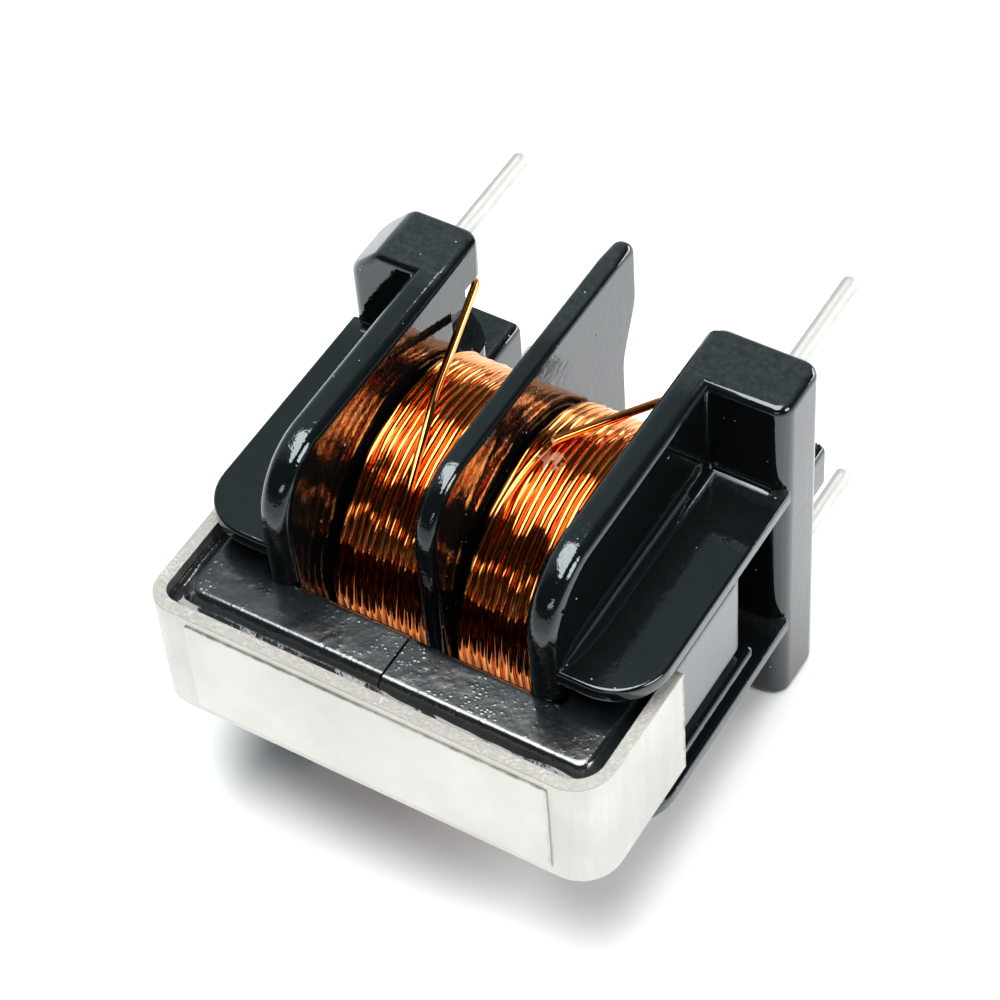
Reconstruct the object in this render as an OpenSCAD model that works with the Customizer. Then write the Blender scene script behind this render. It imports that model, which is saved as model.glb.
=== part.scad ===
// Common mode choke: two coils on a divided bobbin, on a ferrite core of two U halves.
// It lies on the lower edges of its flanges, with the pins along +Y and the coils' axis along X.
// The work origin is where the floor, the divider's middle plane and the rails' front face meet.

/* [Bobbin] */
// Height of the flanges, divider and rails
bobbin_h = 15.1; // [14.4:0.1:18]
// Width of one winding space
space_w = 4.0; // [3.2:0.1:6]
// Thickness of the centre divider
divider_t = 0.8; // [0.6:0.1:1.2]
// Thickness of the end flanges
flange_t = 1.15; // [0.9:0.05:1.6]
// Reach of the flanges in front of the rails
flange_front = 10.05; // [9.6:0.05:10.4]
// Radius of the flanges' front corners
flange_r = 2.55; // [1.5:0.05:3.5]
// Reach of the divider in front of the rails
divider_front = 8.75; // [8.4:0.05:9.4]
// Radius of the divider's front corners
divider_r = 2.3; // [1.5:0.1:3.5]
// Reach of the divider behind the rails' front face, at mid height
divider_back = 3.6; // [2.8:0.1:4.4]
// Distance from the middle plane to the start of the divider's back ears
ear_from = 3.8; // [3:0.1:5]
// Rise of the slope that leads out to an ear
ear_slope = 1.1; // [0.6:0.1:1.6]
// Radius of the ears' corners
ear_r = 0.55; // [0.4:0.05:1.2]
// Wall of the winding tube at the corners of the core leg
tube_wall = 0.64; // [0.5:0.02:0.9]

/* [Yoke plates] */
// Thickness of the plates above and below the core
plate_t = 0.6; // [0.4:0.05:0.9]
// Reach of the plates in front of the rails
plate_front = 9.8; // [9:0.1:10.2]
// Radius of the plates' outer front corner
plate_r = 2.0; // [1:0.1:2.4]
// How far the plates stand out past the rails
plate_proud = 0.1; // [0:0.05:0.3]
// Height of the lands on the plates that the core lies between
land_h = 0.75; // [0.3:0.05:0.9]
// Step between a land's side and the plate's outer edge
land_gap = 0.25; // [0.1:0.05:0.4]

/* [Terminal rails] */
// Width of a rail along X
rail_w = 4.0; // [3.4:0.1:5]
// Depth of a rail along Y
rail_d = 2.6; // [2.2:0.1:3.4]
// Radius of the rails' upright edges
rail_r = 0.4; // [0.2:0.05:0.6]
// Size of the chamfer that marks pin 1
mark_c = 1.3; // [0.6:0.1:1.6]
// Height of the standoffs behind the rails
standoff_h = 2.05; // [1.8:0.05:3]
// Length of a standoff along X
standoff_l = 3.1; // [2.4:0.1:3.4]
// Width of a standoff along Z
standoff_w = 2.1; // [1.2:0.1:2.6]
// Corner radius of a standoff
standoff_r = 0.3; // [0.2:0.05:0.5]
// Step between the rail's inner face and the standoff
standoff_gap = 0.1; // [0:0.05:0.3]
// Depth of the wire notches in the rails' inner edge
notch_d = 0.95; // [0.7:0.05:1.2]
// Height of the notches' floor above the middle plane, at the inner face
notch_low = 2.35; // [1.8:0.05:2.8]
// Height of the notches' floor above the middle plane, at full depth
notch_floor = 3.45; // [3:0.05:3.9]
// Height of the notches' roof above the middle plane, at full depth
notch_roof = 4.95; // [4.6:0.05:5.2]
// Height of the notches' roof above the middle plane, at the inner face
notch_high = 5.95; // [5.6:0.05:6.4]
// Place where the notches start behind the rails' front face
notch_from = 0.3; // [0.1:0.05:0.6]

/* [Core] */
// Width of the core legs along Y
leg_w = 2.4; // [2:0.05:2.6]
// Thickness of the core along Z
core_t = 4.56; // [4:0.02:5]
// Width of the core yokes along X
yoke_w = 2.44; // [2:0.02:3]
// Width of the core window along Y
window_w = 5.5; // [5.2:0.05:6]
// Setback of the core behind the rails' front face
core_back = 1.8; // [1.5:0.05:2.2]
// Radius of the core's outer upright corners
core_r = 1.0; // [0.7:0.05:1.4]
// Bevel on the core's edges
core_bevel = 0.5; // [0.1:0.05:0.6]
// Half of the joint between the two halves
joint_half = 0.01; // [0.005:0.005:0.03]
// Clearance between the core and the bobbin
core_fit = 0.06; // [0.03:0.01:0.12]

/* [Band] */
// Width of the band along Z
band_w = 5.05; // [4.4:0.05:5.6]
// Thickness of the band
band_t = 0.48; // [0.3:0.02:0.6]
// Inner radius of the band's corners
band_r = 1.02; // [0.8:0.02:1.4]
// Clearance between the band's arms and the core's ends
band_fit = 0.03; // [0.01:0.01:0.06]
// Length of the band's arms behind its front face
arm_l = 5.75; // [4:0.05:7]
// Thickness of the glue between the band and the front leg
glue_t = 0.32; // [0.1:0.02:0.5]
// Distance from the glue's ends to the band's corners
glue_gap = 0.26; // [0.1:0.02:3]
// Distance from the label's ends to the band's corners
label_gap = 0.21; // [0.1:0.01:3]
// Distance from the label to the band's long edges
label_edge = 0.375; // [0.1:0.025:1]
// Thickness of the label film
label_t = 0.06; // [0.04:0.01:0.1]

/* [Coils] */
// Diameter of the enamelled wire
wire_d = 0.3; // [0.2:0.01:0.34]
// Layers of wire in each coil
layers = 7; // [4:1:7]
// Clearance round the coils
coil_fit = 0.02; // [0.01:0.01:0.05]

/* [Pins] */
// Pin diameter
pin_d = 0.64; // [0.5:0.02:0.8]
// Pin spacing along X
pitch_x = 13.0; // [12.6:0.1:14]
// Pin spacing along Z
pitch_z = 10.0; // [9.6:0.1:10.4]
// Length of the pins past the standoffs
pin_l = 3.8; // [2.5:0.1:6]
// Length of the pins inside the rails
pin_in = 1.8; // [1.4:0.1:2]
// Chamfer on the pin tips
pin_tip = 0.16; // [0.05:0.01:0.2]
// Growth of a pin's radius along its root, from the seat plane down to its end in the rail
root_rise = 0.02; // [0.01:0.005:0.04]
// Radial clearance of the pins in the rails
pin_fit = 0.01; // [0.005:0.005:0.02]
// Thickness of the solder over the wire wraps
solder_t = 0.12; // [0.05:0.01:0.2]
// Turns of wire wrapped round each pin
wraps = 2; // [1:1:2]

/* [Hidden] */
$fn = 64;
// Overlap that makes cuts and joins clean
eps = 0.2;

// Bobbin faces along X, counted from the divider's middle plane
mid = bobbin_h / 2;
flange_in = divider_t / 2 + space_w;
flange_out = flange_in + flange_t;
rail_out = flange_in + rail_w;
plate_out = rail_out + plate_proud;
land_out = plate_out - land_gap;
seat_y = rail_d + standoff_h;

// Core faces
core_half_l = flange_out + core_fit + yoke_w;
core_w = 2 * leg_w + window_w;
core_y = -core_back - core_w / 2;
core_front = -core_back - core_w;
leg_y = -core_back - leg_w / 2;
window_l = 2 * (flange_out + core_fit);
hole_w = leg_w + 2 * core_fit;
hole_h = core_t + 2 * core_fit;
plate_in = core_t / 2 + core_fit + land_h;

// Coils, wound on a round tube that just holds the core leg
tube_r = norm([hole_w / 2, hole_h / 2]) + tube_wall;
coil_in = tube_r + coil_fit;
layer_rise = wire_d * sin(60);
coil_r = coil_in + wire_d + (layers - 1) * layer_rise;
coil_w = space_w - 2 * coil_fit;
turns = floor(coil_w / wire_d);
turn_pitch = (coil_w - wire_d) / (turns - 1);

// Band faces
band_in_x = core_half_l + band_fit;
band_out_x = band_in_x + band_t;
band_in_y = core_front - glue_t;
band_out_y = band_in_y - band_t;
arm_end = band_out_y + arm_l;
band_flat = band_in_x - band_r;
glue_half = band_flat - glue_gap;
label_half = band_flat - label_gap;
label_w = band_w - 2 * label_edge;
land_from = arm_end + core_fit;

// Pins and the wire wraps behind the rails
pin_r = pin_d / 2;
pin_x = pitch_x / 2;
pin_z = pitch_z / 2;
pin_end = seat_y + pin_l;
wrap_r = pin_r + root_rise + wire_d / 2;
wrap_pitch = wire_d + coil_fit;
wrap_y = rail_d + wire_d / 2 + coil_fit;
wrap_end = wrap_y + (wraps + 0.25) * wrap_pitch + wire_d / 2 + coil_fit;
collar_in = wrap_r + wire_d / 2 + coil_fit;
collar_out = collar_in + solder_t;
collar_tip = wrap_end + wire_d;

// Where a lead passes its notch, and how far it drops from there to the pin
lead_in = 0.35;
lead_short = 0.15;
lead_below = 0.9;
lead_past = 0.65;
lead_drop = 0.25;

// The part's origin lies under the middle of its bounding box
shift_y = -(pin_end + band_out_y - label_t) / 2;

// Each lead's side and level, its place across the winding space at its start and where it
// leaves the coil, as shares of the space, and its start angle.
// The four entries are pin 1 (left, top), 2 (right, top), 3 (right, bottom) and 4 (left, bottom).
LEADS = [
    [-1, 1, 0.45, 0.7, -42],
    [1, 1, 0.14, 0.21, -30],
    [1, -1, 0.65, 0.7, -20],
    [-1, -1, 0.65, 0.7, -20]
];

plastic = "#23282a";
ferrite = "#3d474a";
tinned = "#d8d8d1";
film = "#e6e6df";
glue = "#101314";
copper = "#c96a22";
bright = "#dfe2dc";
solder_grey = "#c4c8c4";

// Moves a piece from the work origin to the part's origin
module placed() {
    translate([0, shift_y, 0]) children();
}

// Stands a Y-Z outline up and gives it a thickness along X
module across_x(from, to) {
    translate([from, 0, 0]) rotate([90, 0, 90]) linear_extrude(to - from) children();
}

// Stands an X-Z outline up and gives it a thickness along Y
module along_y(from, to) {
    translate([0, to, 0]) rotate([90, 0, 0]) linear_extrude(to - from) children();
}

// A rectangle round its own centre, with round corners
module round_rect(size, r) {
    square([size.x - 2 * r, size.y], center = true);
    square([size.x, size.y - 2 * r], center = true);
    for (x = [-1, 1], y = [-1, 1])
        translate([x * (size.x / 2 - r), y * (size.y / 2 - r)]) circle(r);
}

// A rectangle round its own centre, with cut corners
module cut_rect(size, c) {
    x = size.x / 2;
    y = size.y / 2;
    polygon([
        [-x + c, -y], [x - c, -y], [x, -y + c], [x, y - c],
        [x - c, y], [-x + c, y], [-x, y - c], [-x, -y + c]
    ]);
}

// A wall's outline that runs from front to back, with its two front corners rounded
module wall_outline(front, back, r) {
    translate([-front + r, 0]) square([back + front - r, bobbin_h]);
    translate([-front, r]) square([r + eps, bobbin_h - 2 * r]);
    for (z = [r, bobbin_h - r]) translate([-front + r, z]) circle(r);
}

// Divider with an ear at the top and the bottom of its back edge
module divider_outline() {
    wall_outline(divider_front, divider_back, divider_r);
    for (side = [-1, 1]) translate([0, mid]) scale([1, side]) {
        polygon([
            [divider_back - eps, ear_from], [divider_back, ear_from],
            [seat_y, ear_from + ear_slope], [seat_y, mid - ear_r],
            [seat_y - ear_r, mid], [divider_back - eps - ear_r, mid]
        ]);
        translate([seat_y - ear_r, mid - ear_r]) circle(ear_r);
    }
}

// Plate above or below a yoke, with its outer front corner rounded
module plate_outline(out, front, r) {
    translate([flange_out - eps, -front + r]) square([out - flange_out + eps, front - r + eps]);
    translate([flange_out - eps, -front]) square([out - flange_out + eps - r, r + eps]);
    intersection() {
        translate([out - r, -front + r]) circle(r);
        translate([out - r, -front]) square(r);
    }
}

module rail_outline() {
    translate([(flange_in + rail_out) / 2, rail_d / 2]) round_rect([rail_w, rail_d], rail_r);
    translate([flange_in, 0]) square([flange_t, rail_d / 2]);
}

module standoff_outline() {
    r = standoff_r;
    w = standoff_w;
    translate([flange_in + standoff_gap, mid - w / 2]) {
        translate([r, 0]) square([standoff_l - 2 * r, w]);
        translate([0, r]) square([standoff_l, w - 2 * r]);
        for (x = [r, standoff_l - r], z = [r, w - r]) translate([x, z]) circle(r);
    }
}

// Notch that leads a wire from the winding space to the back of the rail
module notch_outline() {
    polygon([
        [flange_in - eps, notch_low], [flange_in, notch_low],
        [flange_in + notch_d, notch_floor], [flange_in + notch_d, notch_roof],
        [flange_in, notch_high], [flange_in - eps, notch_high]
    ]);
}

// One end of the bobbin: flange, yoke plates, rail and standoff
module bobbin_end() {
    across_x(flange_in, flange_out) wall_outline(flange_front, rail_d / 2, flange_r);
    linear_extrude(bobbin_h) rail_outline();
    along_y(rail_d - eps, seat_y) standoff_outline();
    for (side = [0, 1]) translate([0, 0, mid]) mirror([0, 0, side]) {
        translate([0, 0, plate_in])
            linear_extrude(plate_t) plate_outline(plate_out, plate_front, plate_r);
        translate([0, 0, plate_in - land_h])
            linear_extrude(land_h + plate_t / 2) translate([flange_out - eps, land_from])
                square([land_out - flange_out + eps, -core_back - land_from]);
    }
}

// Cuts in one end of the bobbin: front leg relief, pin bores and wire notches
module end_cuts() {
    translate([flange_in - eps, core_front - eps, mid - hole_h / 2])
        cube([flange_t + 2 * eps, leg_w + core_fit + eps, hole_h]);
    for (side = [-1, 1]) {
        translate([pin_x, rail_d - pin_in - pin_fit, mid + side * pin_z]) rotate([-90, 0, 0])
            cylinder(r = pin_r + root_rise + pin_fit, h = pin_in + pin_fit + eps);
        translate([0, 0, mid]) scale([1, 1, side])
            along_y(notch_from, rail_d + eps) notch_outline();
    }
}

module bobbin() {
    color(plastic) placed() difference() {
        union() {
            across_x(-flange_in - eps, flange_in + eps) translate([leg_y, mid]) circle(tube_r);
            across_x(-divider_t / 2, divider_t / 2) divider_outline();
            bobbin_end();
            mirror([1, 0, 0]) bobbin_end();
        }
        end_cuts();
        mirror([1, 0, 0]) end_cuts();
        translate([-flange_out - eps, leg_y - hole_w / 2, mid - hole_h / 2])
            cube([2 * (flange_out + eps), hole_w, hole_h]);
        along_y(-eps, rail_d + eps) polygon([
            [-rail_out - eps, bobbin_h - mark_c - eps], [-rail_out + mark_c + eps, bobbin_h + eps],
            [-rail_out - eps, bobbin_h + eps]
        ]);
    }
}

// Flare that bevels the window's rim
module window_rim() {
    x = window_l / 2;
    y = window_w / 2;
    c = core_bevel;
    intersection() {
        along_y(-y - c, y + c) polygon([[-x, 0], [x, 0], [x + c, c], [-x - c, c]]);
        across_x(-x - c, x + c) polygon([[-y, 0], [y, 0], [y + c, c], [-y - c, c]]);
    }
}

// The whole ring that the two halves make together
module core_ring() {
    translate([0, core_y, mid]) difference() {
        intersection() {
            translate([0, 0, -core_t / 2])
                linear_extrude(core_t) round_rect([2 * core_half_l, core_w], core_r);
            along_y(-core_w, core_w) cut_rect([2 * core_half_l, core_t], core_bevel);
            across_x(-2 * core_half_l, 2 * core_half_l) cut_rect([core_w, core_t], core_bevel);
        }
        cube([window_l, window_w, 2 * core_t], center = true);
        for (side = [0, 1]) mirror([0, 0, side])
            translate([0, 0, core_t / 2 - core_bevel]) window_rim();
    }
}

module core_half() {
    color(ferrite) placed() intersection() {
        core_ring();
        translate([joint_half, core_front - eps, 0])
            cube([core_half_l, core_w + 2 * eps, bobbin_h]);
    }
}

module core_half_left() { mirror([1, 0, 0]) core_half(); }
module core_half_right() { core_half(); }

// Outline of the band's outer or inner wall, open at the back
module band_wall(x, y, r, back) {
    translate([-x, y + r]) square([2 * x, back - y - r]);
    translate([-x + r, y]) square([2 * (x - r), r + eps]);
    for (side = [-1, 1]) translate([side * (x - r), y + r]) circle(r);
}

module clip_band() {
    color(tinned) placed() translate([0, 0, mid - band_w / 2]) linear_extrude(band_w) difference() {
        band_wall(band_out_x, band_out_y, band_r + band_t, arm_end);
        band_wall(band_in_x, band_in_y, band_r, arm_end + eps);
    }
}

module band_label() {
    color(film) placed() translate([-label_half, band_out_y - label_t, mid - label_w / 2])
        cube([2 * label_half, label_t, label_w]);
}

// Glue fills the gap to the band and covers the bevels of the front leg
module core_adhesive() {
    h = core_t / 2;
    color(glue) placed() across_x(-glue_half, glue_half) translate([0, mid]) polygon([
        [band_in_y, -h], [core_front + core_bevel, -h], [core_front, -h + core_bevel],
        [core_front, h - core_bevel], [core_front + core_bevel, h], [band_in_y, h]
    ]);
}

// A coil is one solid, with the outer layer's turns and the two end faces in their true form
module winding() {
    color(copper) placed() translate([divider_t / 2 + coil_fit, leg_y, mid]) rotate([0, 90, 0])
        rotate_extrude() {
            translate([coil_in, 0]) square([coil_r - coil_in - wire_d / 2, coil_w]);
            for (i = [0 : turns - 1])
                translate([coil_r - wire_d / 2, wire_d / 2 + i * turn_pitch]) circle(wire_d / 2);
        }
}

module winding_left() { mirror([1, 0, 0]) winding(); }
module winding_right() { winding(); }

// Angle from the top of the coil at which a straight lead leaves it for a point (y, z)
function leave_angle(r, y, z) = atan2(y, z) - acos(r / norm([y, z]));

// Route of a lead on the right, at the top: on the coil, through the notch, round the pin
function lead_route(from, to, start) =
    let(
        r = coil_r + wire_d / 2 + coil_fit,
        x_start = divider_t / 2 + from * space_w,
        x_leave = divider_t / 2 + to * space_w,
        notch_x = flange_in + lead_in,
        notch_y = rail_d - lead_short,
        notch_z = notch_high - lead_below,
        leave = leave_angle(r, notch_y - leg_y, notch_z),
        steps = 6
    )
    [
        for (i = [0 : steps]) let(t = i / steps, a = start + t * (leave - start))
            [x_start + t * (x_leave - x_start), leg_y + r * sin(a), r * cos(a)],
        [notch_x, notch_y, notch_z],
        [flange_in + lead_past, wrap_y, notch_z - lead_drop],
        for (a = [0 : 30 : 360 * wraps + 90])
            [pin_x + wrap_r * sin(a), wrap_y + wrap_pitch * a / 360, pin_z - wrap_r * cos(a)]
    ];

function unit(v) = v / norm(v);

// Direction of a route at each of its points
function headings(p) = [
    for (i = [0 : len(p) - 1])
        unit(p[min(i + 1, len(p) - 1)] - p[max(i - 1, 0)])
];

// One cross direction for each heading, carried along so that the tube doesn't twist
function sides(t) = [
    for (i = 0, n = unit(cross(t[0], [1, 0, 0]));
         i < len(t);
         i = i + 1, n = i < len(t) ? unit(n - (n * t[i]) * t[i]) : n)
        n
];

// Round tube of radius r along a route
module tube_along(p, r, facets = 10) {
    t = headings(p);
    n = sides(t);
    last = len(p) - 1;
    points = [
        for (i = [0 : last], k = [0 : facets - 1])
            let(a = 360 * k / facets)
            p[i] + r * (cos(a) * n[i] + sin(a) * cross(t[i], n[i]))
    ];
    walls = [
        for (i = [0 : last - 1], k = [0 : facets - 1])
            let(a = i * facets + k, b = i * facets + (k + 1) % facets)
            [a, a + facets, b + facets, b]
    ];
    caps = [
        [for (k = [0 : facets - 1]) k],
        [for (k = [facets - 1 : -1 : 0]) last * facets + k]
    ];
    polyhedron(points, concat(walls, caps));
}

// A lead, taken from the right top corner to its own corner
module lead(i) {
    side = LEADS[i][0];
    level = LEADS[i][1];
    color(copper) placed() translate([0, 0, mid])
        mirror([side < 0 ? 1 : 0, 0, 0]) mirror([0, 0, level < 0 ? 1 : 0])
            tube_along(lead_route(LEADS[i][2], LEADS[i][3], LEADS[i][4]), wire_d / 2);
}

module lead_1() { lead(0); }
module lead_2() { lead(1); }
module lead_3() { lead(2); }
module lead_4() { lead(3); }

// Sets a piece on a pin's axis, with its own +Z along the pin
module at_pin(i, y) {
    side = LEADS[i][0];
    level = LEADS[i][1];
    placed() translate([side * pin_x, y, mid + level * pin_z]) rotate([-90, 0, 0]) children();
}

module pin(i) {
    start = rail_d - pin_in;
    l = pin_end - start;
    color(bright) at_pin(i, start) rotate_extrude() polygon([
        [0, 0], [pin_r + root_rise, 0], [pin_r, seat_y - start],
        [pin_r, l - pin_tip], [pin_r - pin_tip, l], [0, l]
    ]);
}

module pin_1() { pin(0); }
module pin_2() { pin(1); }
module pin_3() { pin(2); }
module pin_4() { pin(3); }

// Solder closes over the wraps and runs out on the pin, with a slot where the lead comes in
module solder(i) {
    side = LEADS[i][0];
    level = LEADS[i][1];
    foot = rail_d + coil_fit;
    h = wrap_end - foot;
    tip = collar_tip - foot;
    color(solder_grey) difference() {
        at_pin(i, foot) rotate_extrude() polygon([
            [collar_in, 0], [collar_out, 0], [collar_out, h],
            [pin_r + root_rise + solder_t / 2, tip], [pin_r + root_rise, tip],
            [pin_r + root_rise, h], [collar_in, h]
        ]);
        placed() translate([0, 0, mid]) mirror([side < 0 ? 1 : 0, 0, 0])
            mirror([0, 0, level < 0 ? 1 : 0])
                translate([pin_x - collar_out - eps, rail_d - eps, pin_z - collar_out - eps])
                    cube([collar_out + eps, eps + wire_d + 2 * coil_fit, 2 * eps + wire_d + solder_t]);
    }
}

module solder_1() { solder(0); }
module solder_2() { solder(1); }
module solder_3() { solder(2); }
module solder_4() { solder(3); }

bobbin();
core_half_left();
core_half_right();
clip_band();
band_label();
core_adhesive();
winding_left();
winding_right();
lead_1();
lead_2();
lead_3();
lead_4();
pin_1();
pin_2();
pin_3();
pin_4();
solder_1();
solder_2();
solder_3();
solder_4();
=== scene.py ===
"""Looks of a common mode choke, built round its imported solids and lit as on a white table."""
import math

import bmesh
import bpy
from mathutils import Matrix, Vector, noise


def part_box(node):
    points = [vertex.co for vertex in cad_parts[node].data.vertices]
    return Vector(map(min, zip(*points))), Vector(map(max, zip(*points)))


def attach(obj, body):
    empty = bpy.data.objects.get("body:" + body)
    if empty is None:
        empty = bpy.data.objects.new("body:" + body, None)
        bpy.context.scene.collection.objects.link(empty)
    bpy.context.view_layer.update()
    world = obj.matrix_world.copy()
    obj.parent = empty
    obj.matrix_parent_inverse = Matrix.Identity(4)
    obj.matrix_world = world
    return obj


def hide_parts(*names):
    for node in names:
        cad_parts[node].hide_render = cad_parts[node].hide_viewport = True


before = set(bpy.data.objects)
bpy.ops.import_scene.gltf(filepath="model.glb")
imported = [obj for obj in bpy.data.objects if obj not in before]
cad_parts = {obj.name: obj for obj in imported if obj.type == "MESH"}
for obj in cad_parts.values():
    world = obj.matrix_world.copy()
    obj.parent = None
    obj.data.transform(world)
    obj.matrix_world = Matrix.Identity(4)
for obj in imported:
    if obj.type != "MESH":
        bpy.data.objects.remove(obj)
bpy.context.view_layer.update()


# Bobbin: one moulding in glossy black plastic that carries everything else.
# A winding tube, a divider and two flanges, four plates that hold the core's yokes,
# and two terminal rails with wire notches and standoffs. All its edges are rounded.
MM = 0.001
HEIGHT = 15.1
MID = HEIGHT / 2
SEAT = 4.65
RAIL_DEPTH = 2.6
FLANGE_IN = 4.4
FLANGE_OUT = 5.55
RAIL_OUT = 8.4
PLATE_IN = 3.09
PLATE_TOP = 3.69
LEG_Y = -3.0
LEG_ROOM = 1.26
CORE_ROOM = 2.34
TUBE_RADIUS = 3.298
TUBE_END = 4.6
DIVIDER_HALF = 0.4
DIVIDER_FRONT = 8.75
DIVIDER_BEND = 2.3
DIVIDER_WAIST = 3.6
EAR_START = 3.3
EAR_BEND = 0.42
SWING_START = 2.3
SWING_RISE = 2.9
FLANGE_FRONT = 10.05
FLANGE_BACK = 2.3
FLANGE_BEND = 2.55
PIN_MARK = 1.35
RAIL_BEND = 0.62
RAIL_EDGE = 0.3
FOOT_IN = 4.8
FOOT_OUT = 7.3
FOOT_HALF = 0.75
FOOT_BEND = 0.3
FOOT_EDGE = 0.14
PLATE_OUT = 8.5
PLATE_FRONT = -9.8
PLATE_BEND = 2.0
PLATE_EDGE = 0.13
LAND_OUT = 8.25
LAND_FRONT = -7.09
LAND_BACK = -1.8
LAND_EDGE = 0.22
SUNK = 0.3
RAIL_FILLET_OUT = 0.34
RAIL_FILLET_IN = 0.3
CORNER_FILLET = 0.15
FLANGE_FILLET = ((0.1, 0.5), (-7.4, 0.5), (-8.5, 0.42), (-9.2, 0.25), (-9.7, 0.03))
LEG_RELIEF = ((4.2, -12.4), (5.95, -12.4), (5.95, -9.64), (4.2, -9.64))
NOTCH_OUTLINE = ((4.2, 2.35), (4.4, 2.35), (5.35, 3.45), (5.35, 4.95), (4.4, 5.95), (4.2, 5.95))
NOTCH_START = 0.3
CUT_END = 2.9
PIN_X = 6.5
PIN_Z = 5.0
BORE_RADIUS = 0.35
BORE_START = 0.79
RAIL_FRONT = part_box("bobbin")[1][1] / MM - SEAT

BLACK = (0.0026, 0.0036, 0.0039, 1)
SCUFFED = (0.024, 0.029, 0.030, 1)
# Near black painted into the pits, as the shade inside them.
PIT_SHADE = (0.001, 0.001, 0.001, 1)
DUST = (0.42, 0.42, 0.38, 1)


def arc(centre, radius, start, end, steps):
    """Points of an arc, from one angle to another in degrees."""
    angles = [math.radians(start + (end - start) * i / steps) for i in range(steps + 1)]
    return [(centre[0] + radius * math.cos(a), centre[1] + radius * math.sin(a)) for a in angles]


def rounded(shape, edges, radius, steps):
    """Rounds these edges of a shape."""
    bmesh.ops.bevel(
        shape, geom=edges, offset=radius, segments=steps, profile=0.5,
        affect="EDGES", clamp_overlap=True,
    )


def loft(rows):
    """A closed solid through rows of points, in millimetres from the rails' front face."""
    shape = bmesh.new()
    rings = [[shape.verts.new(point) for point in row] for row in rows]
    shape.faces.new(rings[0])
    shape.faces.new(rings[-1])
    for near, far in zip(rings, rings[1:]):
        for i in range(len(near)):
            shape.faces.new((near[i - 1], near[i], far[i], far[i - 1]))
    bmesh.ops.recalc_face_normals(shape, faces=shape.faces)
    return shape


def prism(outline, axis, low, high):
    """A solid with one outline all along an axis."""
    turn = {"x": (2, 0, 1), "y": (0, 2, 1), "z": (0, 1, 2)}[axis]
    return loft([[[(*point, level)[k] for k in turn] for point in outline] for level in (low, high)])


def sharp_edges(shape, least=35):
    """The edges of a shape that turn by more than this angle."""
    return [e for e in shape.edges if e.calc_face_angle(0) > math.radians(least)]


def soft_prism(outline, axis, low, high, radius, steps=3):
    """A prism with all its sharp edges rounded."""
    shape = prism(outline, axis, low, high)
    rounded(shape, sharp_edges(shape), radius, steps)
    return shape


def in_scene(name, data):
    """A new object of that name in the scene."""
    thing = bpy.data.objects.new(name, data)
    bpy.context.collection.objects.link(thing)
    return thing


def as_object(name, shape):
    """Puts a shape in the scene as an object of that name."""
    mesh = bpy.data.meshes.new(name)
    shape.to_mesh(mesh)
    shape.free()
    return in_scene(name, mesh)


def settled(thing, name):
    """The object's final mesh as a plain object, with its modifiers taken in."""
    seen = thing.evaluated_get(bpy.context.evaluated_depsgraph_get())
    mesh = bpy.data.meshes.new_from_object(seen)
    bpy.data.objects.remove(thing)
    mesh.name = name
    return in_scene(name, mesh)


def to_part_frame(piece):
    """Takes a piece from millimetres at the rails' front face to the part's own frame."""
    move = Matrix.Translation((0, RAIL_FRONT * MM, 0)) @ Matrix.Scale(MM, 4)
    piece.data.transform(move)


def moulded(solids, cuts, name):
    """One body of all these solids, less the cuts."""
    body = as_object(name, solids[0])
    tools = []
    for shapes, how in ((solids[1:], "UNION"), (cuts, "DIFFERENCE")):
        group = bpy.data.collections.new(how.lower())
        for shape in shapes:
            tool = as_object("tool", shape)
            group.objects.link(tool)
            tools.append(tool)
        step = body.modifiers.new("step", "BOOLEAN")
        step.operand_type = "COLLECTION"
        step.collection = group
        step.operation = how
        step.solver = "EXACT"
    piece = settled(body, name)
    for tool in tools:
        bpy.data.objects.remove(tool)
    for group in [g for g in bpy.data.collections if g.name in ("union", "difference")]:
        bpy.data.collections.remove(group)
    return piece


def wall_outline(front, back, radius):
    """A wall seen from the side, with its two front corners rounded."""
    return (
        arc((-front + radius, radius), radius, 180, 270, 14)
        + [(back, 0), (back, HEIGHT)]
        + arc((-front + radius, HEIGHT - radius), radius, 90, 180, 14)
    )


def divider_outline():
    """The divider seen from the side. Its back edge swings out to an ear at the top and the bottom."""
    swing = []
    for i in range(13):
        share = i / 12
        reach = (SEAT - DIVIDER_WAIST) * share * share * (3 - 2 * share)
        swing.append((DIVIDER_WAIST + reach, SWING_START + SWING_RISE * share))
    nose = DIVIDER_BEND - DIVIDER_FRONT
    ear = SEAT - EAR_BEND
    return (
        arc((nose, DIVIDER_BEND), DIVIDER_BEND, 180, 270, 14)
        + [(EAR_START, 0)]
        + arc((ear, EAR_BEND), EAR_BEND, 270, 360, 6)
        + [(y, MID - z) for y, z in reversed(swing)]
        + [(y, MID + z) for y, z in swing]
        + arc((ear, HEIGHT - EAR_BEND), EAR_BEND, 0, 90, 6)
        + [(EAR_START, HEIGHT)]
        + arc((nose, HEIGHT - DIVIDER_BEND), DIVIDER_BEND, 90, 180, 14)
    )


def eased(value, low, high):
    """Where a value lies between two others, from 0 to 1."""
    return max(0.0, min(1.0, (value - low) / (high - low)))


def divider_lip(y):
    """How far the divider's rim is rounded: little on top, fully at the ears, more at the nose."""
    return 0.2 + 0.17 * eased(y, 3.5, 4.4) + 0.12 * eased(y, -6.5, -8.0)


def flange_lip(y):
    """How far a flange's rim is rounded: more towards its nose."""
    return 0.36 + 0.15 * eased(y, -7.2, -9.4)


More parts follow.
